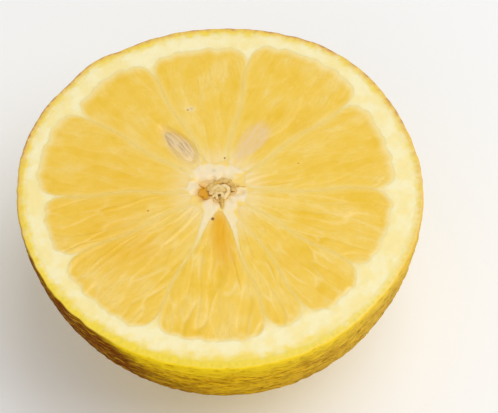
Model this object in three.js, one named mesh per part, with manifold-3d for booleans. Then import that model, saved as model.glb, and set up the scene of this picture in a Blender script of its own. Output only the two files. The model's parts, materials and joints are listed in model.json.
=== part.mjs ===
// Half a lemon, cut across its middle and standing on its stem end with the cut face up.
// Millimetres, +Z up. The origin is on the table, under the middle of the fruit's outline.
import * as THREE from "three";
import { mergeVertices } from "three/addons/utils/BufferGeometryUtils.js";
import Module from "manifold-3d";

const { PI, sin, cos, sqrt, exp, hypot, atan2, abs, max, min } = Math;
const wasm = await Module();
wasm.setup();

// The fruit's body: half an ellipsoid with a low neck at the stem end.
const CUT_HEIGHT = 34.85;
const EQUATOR_RADIUS = 32.4;
const DOME_DEPTH = 33.4;
const NECK_DEPTH = 2.6;
const NECK_SPREAD = 8;
const RIND_THICKNESS = 1.6;

// Rows of the turned shapes: radii on the foot, and angles under the cut face above it and inside.
const AROUND = 90;
const FOOT_RADII = [4.7, 6.3, 8, 10, 12.2];
const DOME_ANGLES = [65, 61, 57, 53, 49, 45, 41, 36, 31, 26, 20.5, 15, 10, 5, 0];
const INNER_ANGLES = [0, 14, 28, 42, 56, 70];

// The dimple at the stem end, which the calyx sits in.
const DIMPLE_RADIUS = 2.9;
const DIMPLE_MOUTH_RADIUS = 3.6;
const DIMPLE_HEIGHT = 1.4;

// Where the outline swells past a circle: [angle, half width, height], in degrees and millimetres.
const SWELLS = [
  [55, 22, 1.1],
  [130, 6, 0.7],
  [158, 20, 0.6],
  [325, 24, -0.6],
];
const SWELL_FADE = 17;

// How far the fruit's side stands out towards +X, halfway down.
const SIDE_SHIFT = 0.7;

// Relief of the skin: pebbled all over, furrowed round the neck, clear of the table.
const PEBBLE = 0.15;
const PEBBLE_SEED = 7;
const FURROWS = 9;
const FURROW_DEPTH = 0.35;
const FURROW_RADIUS = 9.5;
const FURROW_SPREAD = 3;
const TABLE_CLEARANCE = 0.05;

// The pulp: a ring of segments between thin walls, round a pithy core.
// Each segment is [angle of the wall that it starts at, radius that it reaches].
const SEGMENTS = [
  [0.5, 28],
  [39, 29.1],
  [80, 28],
  [116, 28.3],
  [147.5, 29.1],
  [182.5, 28.2],
  [208, 28.3],
  [247, 27.5],
  [286, 26.8],
  [301, 27.6],
  [326, 27.4],
];
const PULP_DEPTH = 26.5;
const PULP_REACH = 68;
const WALL_THICKNESS = 0.6;
const CORE_RADIUS = 4.4;
const TIP_WIDTH = 1.2;
const LOBE_ROUNDING = 3.2;
const MOST_ROUNDING = 0.9;
const GAP = 0.3;
const POCKET_LIFT = 0.5;
const FLATNESS = 0.02;

// Juice sacs show on the cut face as ridges that run out from the core, in staggered rows.
const SEGMENT_STEPS = [14, 9, 3];
const POCKET_STEPS = [14, 3, 3];
const SAC_HEIGHT = 0.28;
const SAC_STEPS_LONG = 3;

// The hollow in the core: a round pit with a lobe to one side, as [x, y, radius, depth].
const HOLLOWS = [
  [0.2, 0.2, 2, 4.5],
  [-2.2, -0.4, 1.4, 3.5],
];

// Seeds lie in the inner ends of the segments: [name, centre, direction of the point, host segment].
const SEED = { length: 9, width: 4.2, thickness: 3.4, taper: 0.35, pinch: 0.15, facets: 10 };
const SEEDS = [
  ["seed_left", [-6.6, 8.3, -1.5], [5.6, -7.2, 0], 4],
  ["seed_right", [4.9, 9.3, -1.55], [-4.6, -6.4, 0], 2],
  ["seed_tip", [-3.3, 15.2, -4.35], [-1.5, 0.7, 4.2], 3],
];

// The dried calyx left where the stem came away.
const CALYX_RADIUS = 2.3;
const CALYX_LOBES = 5;
const CALYX_LOBE_DEPTH = 0.4;
const CALYX_THICKNESS = 0.5;
const CALYX_BEVEL = 0.15;

const MATERIALS = {
  rind: { color: "#eec21c", roughness: 0.42, metalness: 0 },
  pith: { color: "#f6e8b8", roughness: 0.75, metalness: 0 },
  pulp: { color: "#efc552", roughness: 0.25, metalness: 0 },
  seed: { color: "#e0c594", roughness: 0.5, metalness: 0 },
  calyx: { color: "#7d6c3a", roughness: 0.8, metalness: 0 },
};

const radians = THREE.MathUtils.degToRad;

// Helpers for solids

/** A three.js geometry as a manifold-3d solid. */
function solidOf(geometry) {
  const bare = geometry.clone();
  bare.deleteAttribute("normal");
  bare.deleteAttribute("uv");
  const merged = mergeVertices(bare);
  return new wasm.Manifold(
    new wasm.Mesh({
      numProp: 3,
      vertProperties: merged.attributes.position.array,
      triVerts: new Uint32Array(merged.index.array),
    }),
  );
}

/** A manifold-3d solid as a three.js geometry. */
function geometryOf(solid) {
  const { vertProperties, triVerts } = solid.getMesh();
  const geometry = new THREE.BufferGeometry()
    .setAttribute("position", new THREE.BufferAttribute(vertProperties, 3))
    .setIndex(new THREE.BufferAttribute(triVerts, 1));
  geometry.computeVertexNormals();
  return geometry;
}

/** Moves every vertex of a geometry to where move(point, index) puts it. */
function reshape(geometry, move) {
  const points = geometry.attributes.position;
  const point = new THREE.Vector3();
  for (let i = 0; i < points.count; i++) {
    point.fromBufferAttribute(points, i);
    move(point, i);
    points.setXYZ(i, point.x, point.y, point.z);
  }
  return geometry;
}

// The fruit's form

/** How far the outline stands out past a circle at an angle, in degrees. */
function swell(angle) {
  return SWELLS.reduce((sum, [centre, width, height]) => {
    const away = abs(((angle - centre + 540) % 360) - 180);
    return sum + height * exp(-((away / width) ** 2));
  }, 0);
}

/** Takes a point of the round fruit to where the grown fruit has it. */
function grow(point) {
  const angle = (THREE.MathUtils.radToDeg(atan2(point.y, point.x)) + 360) % 360;
  const below = CUT_HEIGHT - min(point.z, CUT_HEIGHT);
  const stretch = 1 + (swell(angle) / EQUATOR_RADIUS) * exp(-((below / SWELL_FADE) ** 2));
  point.x = point.x * stretch + SIDE_SHIFT * sin((PI * below) / CUT_HEIGHT);
  point.y *= stretch;
}

/** Height of the round fruit's skin at a radius, with the neck and the flat spot that it stands on. */
function skinHeight(radius) {
  const dome = CUT_HEIGHT - DOME_DEPTH * sqrt(max(0, 1 - (radius / EQUATOR_RADIUS) ** 2));
  return max(0, dome - NECK_DEPTH * exp(-((radius / NECK_SPREAD) ** 2)));
}

/** The skin's profile, [radius, height], from the axis in the dimple up to the cut face. */
function skinProfile() {
  const dimple = [
    [0, DIMPLE_HEIGHT],
    [DIMPLE_RADIUS, DIMPLE_HEIGHT],
    [DIMPLE_MOUTH_RADIUS, 0],
  ];
  const foot = FOOT_RADII.map((radius) => [radius, skinHeight(radius)]);
  const dome = DOME_ANGLES.map((angle) => {
    const radius = EQUATOR_RADIUS * cos(radians(angle));
    return [radius, skinHeight(radius)];
  });
  return [...dimple, ...foot, ...dome];
}

/** A smooth profile at a depth under the skin, from the cut face down to the axis. */
function innerProfile(depth) {
  const rows = INNER_ANGLES.map((angle) => [
    (EQUATOR_RADIUS - depth) * cos(radians(angle)),
    CUT_HEIGHT - (DOME_DEPTH - depth) * sin(radians(angle)),
  ]);
  return [...rows, [0, CUT_HEIGHT - (DOME_DEPTH - depth)]];
}

/** A solid of revolution about Z from a profile of [radius, height] points. */
function turned(profile) {
  const lathe = new THREE.LatheGeometry(
    profile.map(([radius, height]) => new THREE.Vector2(radius, height)),
    AROUND,
  );
  return reshape(lathe, (point) => point.set(point.x, -point.z, point.y));
}

/** A repeatable value from -1 to 1 for each whole number. */
function jitter(index) {
  const value = sin((index + 1) * 12.9898 + PEBBLE_SEED * 78.233) * 43758.5453;
  return 2 * (value - Math.floor(value)) - 1;
}

// Rind

/** Height of the skin's relief at a vertex of the round fruit. */
function skinRelief(radius, angle, index) {
  const furrow = cos(FURROWS * angle) * exp(-(((radius - FURROW_RADIUS) / FURROW_SPREAD) ** 2));
  return PEBBLE * jitter(index) + FURROW_DEPTH * furrow;
}

/** The yellow outer skin: a cup, pebbled outside, with its cut edge flat. */
function rindGeometry() {
  const skin = skinProfile();
  const profile = [...skin, ...innerProfile(RIND_THICKNESS)];
  const middle = new THREE.Vector3(0, 0, CUT_HEIGHT);
  const outward = new THREE.Vector3();
  return reshape(turned(profile), (point, index) => {
    const row = index % profile.length;
    const column = Math.floor(index / profile.length) % AROUND;
    const above = row < skin.length && hypot(point.x, point.y) > FOOT_RADII[0] + GAP;
    if (above && point.z < CUT_HEIGHT) {
      const radius = hypot(point.x, point.y);
      const relief = skinRelief(radius, atan2(point.y, point.x), row * AROUND + column);
      outward.copy(point).sub(middle).normalize();
      point.addScaledVector(outward, relief);
      point.z = max(point.z, TABLE_CLEARANCE);
    }
    grow(point);
  });
}

// Pulp segments

/** A segment's middle angle and width, in radians, and its inner and outer radius. */
function segmentFrame(index) {
  const [start, outer] = SEGMENTS[index];
  const [end] = SEGMENTS[(index + 1) % SEGMENTS.length];
  const width = radians((end - start + 360) % 360);
  const tip = (TIP_WIDTH + WALL_THICKNESS + 2 * GAP) / width;
  return { middle: radians(start) + width / 2, width, inner: max(CORE_RADIUS, tip), outer };
}

/** Height of a juice sac's ridge or of the groove beside it, at a step across and a step along. */
function sacRidge(across, along) {
  const stagger = Math.floor(along / SAC_STEPS_LONG);
  return (Math.round(across) + stagger) % 2 ? SAC_HEIGHT : -SAC_HEIGHT;
}

/** A segment's wedge, grown by a distance, with steps across, along and down, and its top at a lift. */
function wedge(index, spread, steps, lift) {
  const { middle, width, inner, outer } = segmentFrame(index);
  const box = new THREE.BoxGeometry(1, 1, 1, ...steps);
  return reshape(box, (point) => {
    const side = -sin(PI * point.x);
    const out = point.y + 0.5;
    const dip = radians(PULP_REACH) * (0.5 - point.z);
    const rim = outer * cos(dip) + spread;
    const start = inner - spread;
    const halfWidth = (radius) => (radius * width) / 2 - WALL_THICKNESS / 2 - GAP + spread;
    const rounding = min(LOBE_ROUNDING * cos(dip), MOST_ROUNDING * halfWidth(rim));
    const past = max(0, abs(side) * halfWidth(rim) - halfWidth(rim) + rounding);
    const reach = rim - rounding + sqrt(max(0, rounding ** 2 - past ** 2));
    const radius = start + (reach - start) * out;
    const offset = side * halfWidth(radius);
    const onTop = point.z === 0.5;
    const inside = onTop && abs(point.x) < 0.5 && abs(point.y) < 0.5;
    const ridge = inside && lift === 0 ? sacRidge((point.x + 0.5) * steps[0], out * steps[1]) : 0;
    const height = CUT_HEIGHT - PULP_DEPTH * sin(dip) - (point.z === -0.5 ? spread : 0);
    const angle = middle + offset / radius;
    point.set(radius * cos(angle), radius * sin(angle), height + ridge + (onTop ? lift : 0));
    grow(point);
  });
}

/** The juicy flesh of one segment, ridged on the cut face. */
function segmentSolid(index) {
  return solidOf(wedge(index, 0, SEGMENT_STEPS, 0)).simplify(FLATNESS / 2);
}

// Pith

/** The white layer inside the rind, with the walls between the segments and the core, as one body. */
function pithSolid() {
  const profile = innerProfile(RIND_THICKNESS + GAP).reverse();
  const body = solidOf(reshape(turned([...profile, [0, CUT_HEIGHT]]), grow));
  const pockets = SEGMENTS.map((_, index) => solidOf(wedge(index, GAP, POCKET_STEPS, POCKET_LIFT)));
  const hollows = HOLLOWS.map(([x, y, radius, depth]) =>
    solidOf(
      new THREE.SphereGeometry(1, 12, 8)
        .rotateX(PI / 2)
        .scale(radius, radius, depth)
        .translate(x, y, CUT_HEIGHT),
    ),
  );
  const seeds = SEEDS.map((seed) => seedSolid(seed, GAP));
  const cutters = [...pockets, ...hollows, ...seeds];
  return cutters.reduce((rest, cutter) => rest.subtract(cutter), body).simplify(FLATNESS);
}

// Seeds

/** A seed: an egg with a drawn-out point, grown by a distance, lying where it grew. */
function seedSolid([, centre, direction], spread) {
  const egg = new THREE.SphereGeometry(1, SEED.facets, SEED.facets);
  reshape(egg, (point) => {
    const girth = 1 - SEED.taper * point.y - SEED.pinch * point.y ** 2;
    point.set(
      point.x * girth * (SEED.width / 2) + spread * point.x,
      point.y * (SEED.length / 2 + spread),
      point.z * girth * (SEED.thickness / 2) + spread * point.z,
    );
  });
  const along = new THREE.Vector3(...direction).normalize();
  const flat = new THREE.Vector3(0, 0, 1).addScaledVector(along, -along.z).normalize();
  const across = new THREE.Vector3().crossVectors(along, flat);
  egg.applyMatrix4(new THREE.Matrix4().makeBasis(across, along, flat));
  egg.translate(centre[0], centre[1], CUT_HEIGHT + centre[2]);
  return solidOf(egg);
}

// Calyx

/** The calyx: a thin five-lobed button, in the dimple and clear of the table. */
function calyxGeometry() {
  const outline = Array.from({ length: 8 * CALYX_LOBES }, (_, i) => {
    const angle = (2 * PI * i) / (8 * CALYX_LOBES);
    const radius = CALYX_RADIUS - CALYX_BEVEL - CALYX_LOBE_DEPTH * (1 - cos(CALYX_LOBES * angle)) / 2;
    return new THREE.Vector2(radius * cos(angle), radius * sin(angle));
  });
  return new THREE.ExtrudeGeometry(new THREE.Shape(outline), {
    depth: CALYX_THICKNESS,
    bevelEnabled: true,
    bevelSize: CALYX_BEVEL,
    bevelThickness: CALYX_BEVEL,
    bevelSegments: 1,
  });
}

// Assembly

const lemon = new THREE.Group();

/** Adds a named mesh in one of the materials. */
function add(name, geometry, material, height = 0) {
  const mesh = new THREE.Mesh(geometry, new THREE.MeshStandardMaterial(MATERIALS[material]));
  mesh.name = name;
  mesh.position.z = height;
  lemon.add(mesh);
}

add("rind", rindGeometry(), "rind");
add("pith", geometryOf(pithSolid()), "pith");
SEGMENTS.forEach((_, index) => {
  const held = SEEDS.filter(([, , , host]) => host === index + 1);
  const flesh = held.reduce((rest, seed) => rest.subtract(seedSolid(seed, GAP)), segmentSolid(index));
  add(`segment_${String(index + 1).padStart(2, "0")}`, geometryOf(flesh), "pulp");
});
SEEDS.forEach((seed) => add(seed[0], geometryOf(seedSolid(seed, 0)), "seed"));
const calyxHeight = DIMPLE_HEIGHT - GAP - CALYX_BEVEL - CALYX_THICKNESS;
add("calyx", calyxGeometry(), "calyx", calyxHeight);

export default lemon;
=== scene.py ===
"""Half a lemon, cut face up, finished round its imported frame.

Lengths are millimetres in the frame's own axes, with Z = 0 on the table. Only ``Piece`` turns them
into metres, and it leaves each finished object at the origin with its place in its mesh.
"""
import json
import logging
import math
from collections.abc import Mapping, Sequence
from dataclasses import dataclass
from enum import Enum

import bpy
import numpy as np
from mathutils import Matrix, Vector
from mathutils.kdtree import KDTree

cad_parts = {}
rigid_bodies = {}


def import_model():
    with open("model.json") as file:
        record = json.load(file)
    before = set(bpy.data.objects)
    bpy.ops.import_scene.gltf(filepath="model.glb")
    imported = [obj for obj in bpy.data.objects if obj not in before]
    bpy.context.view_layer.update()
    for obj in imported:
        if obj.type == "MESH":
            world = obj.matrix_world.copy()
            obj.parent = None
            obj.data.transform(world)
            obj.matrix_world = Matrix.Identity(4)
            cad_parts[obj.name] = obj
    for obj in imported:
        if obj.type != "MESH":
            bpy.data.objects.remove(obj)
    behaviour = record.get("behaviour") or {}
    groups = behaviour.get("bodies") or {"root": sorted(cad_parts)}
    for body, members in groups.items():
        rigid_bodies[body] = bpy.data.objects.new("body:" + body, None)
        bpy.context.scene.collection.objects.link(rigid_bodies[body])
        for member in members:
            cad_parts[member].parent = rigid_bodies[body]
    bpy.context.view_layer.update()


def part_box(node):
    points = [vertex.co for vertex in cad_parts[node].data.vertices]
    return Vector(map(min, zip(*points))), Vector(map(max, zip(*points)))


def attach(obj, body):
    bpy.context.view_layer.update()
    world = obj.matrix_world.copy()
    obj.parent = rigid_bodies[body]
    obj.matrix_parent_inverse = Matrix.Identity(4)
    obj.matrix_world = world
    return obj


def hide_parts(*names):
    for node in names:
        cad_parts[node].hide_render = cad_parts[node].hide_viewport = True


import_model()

BODY = "root"
MM = 0.001
TOUCH = 1e-3  # how near to a plane still counts as on it, in millimetres
SMOOTH_BELOW = math.radians(45)  # edges flatter than this are shaded smooth
log = logging.getLogger("lemon")

Span = tuple[float, float]
Triple = tuple[float, float, float]
Color = Triple
Socket = bpy.types.NodeSocket
Paint = Socket | Color


class Slot(Enum):
    """The record's material slots."""

    RIND = "rind"
    PITH = "pith"
    PULP = "pulp"
    SEED = "seed"
    CALYX = "calyx"


def rise(low: float, high: float, values: np.ndarray) -> np.ndarray:
    """Eases values from 0 to 1 between two limits.

    Args:
        low: Where the result is 0.
        high: Where the result is 1.
        values: What is eased.

    Returns:
        The eased values.
    """
    share = np.clip((values - low) / (high - low), 0, 1)
    return share * share * (3 - 2 * share)


def fall(low: float, high: float, values: np.ndarray) -> np.ndarray:
    """Eases values from 1 to 0 between two limits."""
    return 1 - rise(low, high, values)


def between(ends: Span, share: np.ndarray) -> np.ndarray:
    """Values on the way from one end, at a share of 0, to the other, at 1."""
    return ends[0] + (ends[1] - ends[0]) * share


def bell(values: np.ndarray, width: float) -> np.ndarray:
    """A bump that is 1 at zero and falls off over a width."""
    return np.exp(-((values / width) ** 2))


def polar(places: np.ndarray) -> tuple[np.ndarray, np.ndarray]:
    """Distances of places from Z, and their angles round it in radians."""
    return np.hypot(places[:, 0], places[:, 1]), np.arctan2(places[:, 1], places[:, 0])


def turn_from(places: np.ndarray, angle: float) -> np.ndarray:
    """How far places lie round Z from a direction, in degrees from -180 to 180."""
    return (np.degrees(polar(places)[1]) - angle + 180) % 360 - 180


def nearest(centres: np.ndarray, points: np.ndarray, count: int) -> tuple[np.ndarray, np.ndarray]:
    """Finds the centres that lie nearest to points.

    Args:
        centres: Places to choose from, one row each.
        points: Places that look for them, one row each.
        count: How many are found for each point.

    Returns:
        Numbers of the centres and their distances, one row for each point.
    """
    tree = KDTree(len(centres))
    for number, centre in enumerate(centres):
        tree.insert(centre, number)
    tree.balance()
    found = [tree.find_n(point, count) for point in points]
    numbers, distances = ([[hit[part] for hit in hits] for hits in found] for part in (1, 2))
    return np.array(numbers), np.array(distances)


@dataclass(frozen=True)
class Spot:
    """A soft oval patch on the cut face."""

    x: float
    y: float
    half_x: float
    half_y: float
    strength: float = 1.0

    def away(self, places: np.ndarray) -> np.ndarray:
        """How far places are from the middle, 1 being the patch's half size."""
        return np.hypot((places[:, 0] - self.x) / self.half_x, (places[:, 1] - self.y) / self.half_y)

    def at(self, places: np.ndarray) -> np.ndarray:
        """Strength of the patch at places."""
        return self.strength * bell(self.away(places), 1)


class Ripples:
    """Smooth unevenness that is the same on each run: a sum of waves in all directions."""

    def __init__(self, seed: int, waves: int = 14) -> None:
        """Draws the waves.

        Args:
            seed: Seed of the draw.
            waves: How many waves are summed.
        """
        draw = np.random.default_rng(seed)
        directions = draw.normal(size=(3, waves))
        self.directions = directions / np.linalg.norm(directions, axis=0)
        self.directions *= draw.uniform(0.6, 1.5, waves)
        self.phases = draw.uniform(0, math.tau, waves)

    def at(self, places: np.ndarray, wavelength: float | Sequence[float]) -> np.ndarray:
        """Unevenness at places, mostly from -1 to 1.

        Args:
            places: Points, one row of three each.
            wavelength: Usual distance between swells, for all axes or for each.

        Returns:
            One value for each place.
        """
        turns = (places / np.asarray(wavelength, float)) @ self.directions
        waves = np.sin(math.tau * turns + self.phases)
        return waves.sum(axis=1) * math.sqrt(1.0 / waves.shape[1])


class Piece:
    """A mesh while it is modelled, with its points in millimetres."""

    def __init__(self, name: str) -> None:
        """Takes over the object that was just added.

        Args:
            name: Name of the object and of its mesh.
        """
        self.obj = bpy.context.object
        self.obj.name = name
        self.obj.data.name = name

    @staticmethod
    def start() -> None:
        """Leaves object mode with nothing selected, ready for a new primitive."""
        if bpy.context.object and bpy.context.object.mode != "OBJECT":
            bpy.ops.object.mode_set(mode="OBJECT")
        bpy.ops.object.select_all(action="DESELECT")

    @property
    def mesh(self) -> bpy.types.Mesh:
        """The mesh, in object mode."""
        if self.obj.mode != "OBJECT":
            bpy.ops.object.mode_set(mode="OBJECT")
        return self.obj.data

    @property
    def points(self) -> np.ndarray:
        """Places of the vertices, one row each."""
        vertices = self.mesh.vertices
        places = np.empty(3 * len(vertices))
        vertices.foreach_get("co", places)
        return places.reshape(-1, 3) / MM

    @points.setter
    def points(self, places: np.ndarray) -> None:
        self.mesh.vertices.foreach_set("co", (places * MM).ravel())
        self.mesh.update()

    @property
    def normals(self) -> np.ndarray:
        """Directions that the surface faces at the vertices, one row each."""
        normals = self.mesh.vertex_normals
        directions = np.empty(3 * len(normals))
        normals.foreach_get("vector", directions)
        return directions.reshape(-1, 3)

    def mark(self, **layers: np.ndarray) -> None:
        """Keeps values at the vertices for the materials to read.

        Args:
            **layers: One value for each vertex, by the name of the attribute.
        """
        for name, values in layers.items():
            layer = self.mesh.attributes.new(name, "FLOAT", "POINT")
            layer.data.foreach_set("value", np.asarray(values, np.float32))

    def choose(self, chosen: np.ndarray) -> None:
        """Enters edit mode with some vertices selected, and what lies between them.

        Args:
            chosen: True for each vertex to select.
        """
        mesh = self.mesh
        bpy.context.view_layer.objects.active = self.obj
        bpy.ops.object.mode_set(mode="EDIT")
        bpy.ops.mesh.select_mode(type="VERT")
        bpy.ops.mesh.select_all(action="DESELECT")
        bpy.ops.object.mode_set(mode="OBJECT")
        mesh.vertices.foreach_set("select", np.asarray(chosen, bool))
        bpy.ops.object.mode_set(mode="EDIT")

    def choose_all(self) -> None:
        """Enters edit mode with everything selected."""
        self.choose(np.ones(len(self.mesh.vertices), bool))

    def apply(self, kind: str, **settings: object) -> None:
        """Adds a modifier and applies it.

        Args:
            kind: Type of the modifier.
            **settings: Its settings.
        """
        modifier = self.obj.modifiers.new(kind.lower(), kind)
        for name, value in settings.items():
            setattr(modifier, name, value)
        bpy.context.view_layer.objects.active = self.obj
        bpy.ops.object.modifier_apply(modifier=modifier.name)

    def face_out(self) -> None:
        """Turns every face of the closed mesh outwards."""
        self.choose_all()
        bpy.ops.mesh.normals_make_consistent(inside=False)
        bpy.ops.object.mode_set(mode="OBJECT")

    def hand_over(self, slot: Slot, finish: bpy.types.Material, *nodes: str) -> None:
        """Smooths and dresses the finished piece, and gives it its place on the frame.

        Args:
            slot: The record's material slot; not used.
            finish: Its material.
            *nodes: CAD nodes that it stands for.
        """
        mesh = self.mesh
        Piece.start()
        self.obj.select_set(True)
        bpy.context.view_layer.objects.active = self.obj
        bpy.ops.object.shade_smooth_by_angle(angle=SMOOTH_BELOW)
        mesh.materials.clear()
        mesh.materials.append(finish)
        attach(self.obj, BODY)
        if nodes:
            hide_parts(*nodes)
        mesh.calc_loop_triangles()
        log.info("%s: %d triangles, stands for %s", self.obj.name, len(mesh.loop_triangles), nodes)


def extrude_rows(start: Span, rows: Sequence[Span]) -> None:
    """Extrudes the selected ring round Z along a profile, and closes it on the axis.

    Args:
        start: Radius and height of the selected ring.
        rows: Radius and height of each next ring. The ring after the last is the axis.
    """
    radius, height = start
    for next_radius, next_height in rows:
        lift = (next_height - height) * MM
        bpy.ops.mesh.extrude_region_move(TRANSFORM_OT_translate={"value": (0, 0, lift)})
        share = next_radius / radius
        bpy.ops.transform.resize(value=(share, share, 1), center_override=(0, 0, 0))
        radius, height = next_radius, next_height
    bpy.ops.mesh.merge(type="CENTER")


def turned_piece(name: str, around: int, rim: Span, upper: Sequence[Span], lower: Sequence[Span]) -> Piece:
    """Makes a closed round body from its widest ring.

    Args:
        name: Name of the piece.
        around: Vertices in each ring.
        rim: Radius and height of the widest ring.
        upper: Rings from there to the axis at the top.
        lower: Rings from there to the axis at the bottom.

    Returns:
        The piece.
    """
    Piece.start()
    radius, height = rim
    bpy.ops.mesh.primitive_circle_add(vertices=around, radius=radius * MM, location=(0, 0, height * MM))
    bpy.ops.object.transform_apply(location=True)
    piece = Piece(name)
    for rows in (upper, lower):
        piece.choose(np.arange(len(piece.mesh.vertices)) < around)
        extrude_rows(rim, rows)
    piece.face_out()
    return piece


@dataclass(frozen=True)
class Swell:
    """A bump at one side of the fruit, in degrees and millimetres."""

    angle: float
    width: float
    height: float = 1.0

    def at(self, places: np.ndarray) -> np.ndarray:
        """Height of the bump at places."""
        return self.height * bell(turn_from(places, self.angle), self.width)


@dataclass(frozen=True)
class FruitForm:
    """The fruit's own shape, which all the pieces share with the frame."""

    cut_height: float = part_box("rind")[1].z / MM
    radius: float = 32.33
    dome_depth: float = 33.39
    neck_depth: float = 2.6
    neck_spread: float = 8.0
    swell_fade: float = 17.0
    side_shift: float = 0.7
    swells: tuple[Swell, ...] = (
        Swell(55, 22, 1.1),
        Swell(130, 6, 0.7),
        Swell(158, 20, 0.6),
        Swell(325, 24, -0.6),
    )
    zest: float = 1.15
    zest_swells: tuple[Swell, ...] = (Swell(272, 48, 1.25), Swell(100, 25, 0.5))
    pale_side: Swell = Swell(338, 40)
    pale_narrowing: float = 0.4

    def stretch(self, places: np.ndarray) -> np.ndarray:
        """How many times wider than round the fruit is at places."""
        height = sum(swell.at(places) for swell in self.swells)
        return 1 + height / self.radius * bell(self.below(places), self.swell_fade)

    def below(self, places: np.ndarray) -> np.ndarray:
        """How far places lie below the cut face."""
        return np.clip(self.cut_height - places[:, 2], 0, None)

    def grow(self, places: np.ndarray) -> np.ndarray:
        """Takes points of the round fruit to where the grown fruit has them."""
        grown = places * np.column_stack([self.stretch(places)] * 2 + [np.ones(len(places))])
        grown[:, 0] += self.side_shift * np.sin(math.pi * self.below(places) / self.cut_height)
        return grown

    def dome(self, places: np.ndarray) -> np.ndarray:
        """Takes points of a ball round the origin to the fruit's ellipsoid under the cut face."""
        return places * (1, 1, self.dome_depth / self.radius) + (0, 0, self.cut_height)

    def zest_width(self, places: np.ndarray) -> np.ndarray:
        """How far in the yellow of the rind reaches on the cut face, which is most at the front."""
        wider = sum(swell.at(places) for swell in self.zest_swells)
        return self.zest + wider - self.pale_narrowing * self.pale_side.at(places)

    def under_skin(self, places: np.ndarray) -> np.ndarray:
        """How far in from the outline points of the cut face lie."""
        return self.radius - polar(places)[0] / self.stretch(places)


class Value:
    """A number that varies over a surface. Python's operators add the Math nodes."""

    def __init__(self, graph: "Graph", socket: Socket) -> None:
        """Wraps a socket.

        Args:
            graph: The material's nodes.
            socket: Output that gives the number.
        """
        self.graph = graph
        self.socket = socket

    def _math(self, operation: str, *others: "Value | float", clamp: bool = False) -> "Value":
        """Adds a Math node whose first input is this value."""
        inputs = dict(enumerate((self, *others)))
        node = self.graph.node("Math", {"operation": operation, "use_clamp": clamp}, inputs)
        return Value(self.graph, node.outputs[0])

    def __add__(self, other: "Value | float") -> "Value":
        """Sum."""
        return self._math("ADD", other)

    def __mul__(self, other: "Value | float") -> "Value":
        """Product."""
        return self._math("MULTIPLY", other)

    def __sub__(self, other: "Value | float") -> "Value":
        """Difference."""
        return self._math("SUBTRACT", other)

    def __rsub__(self, other: float) -> "Value":
        """Difference from a number."""
        return self * -1.0 + other

    def clamped(self) -> "Value":
        """The value held between 0 and 1."""
        return self._math("ADD", 0.0, clamp=True)

    def eased(self, low: float, high: float) -> "Value":
        """The value eased from 0 to 1 between two limits.

        Args:
            low: Where the result is 0.
            high: Where the result is 1.

        Returns:
            The eased value.
        """
        settings = {"interpolation_type": "SMOOTHSTEP"}
        node = self.graph.node("MapRange", settings, {"Value": self, "From Min": low, "From Max": high})
        return Value(self.graph, node.outputs["Result"])


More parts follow.
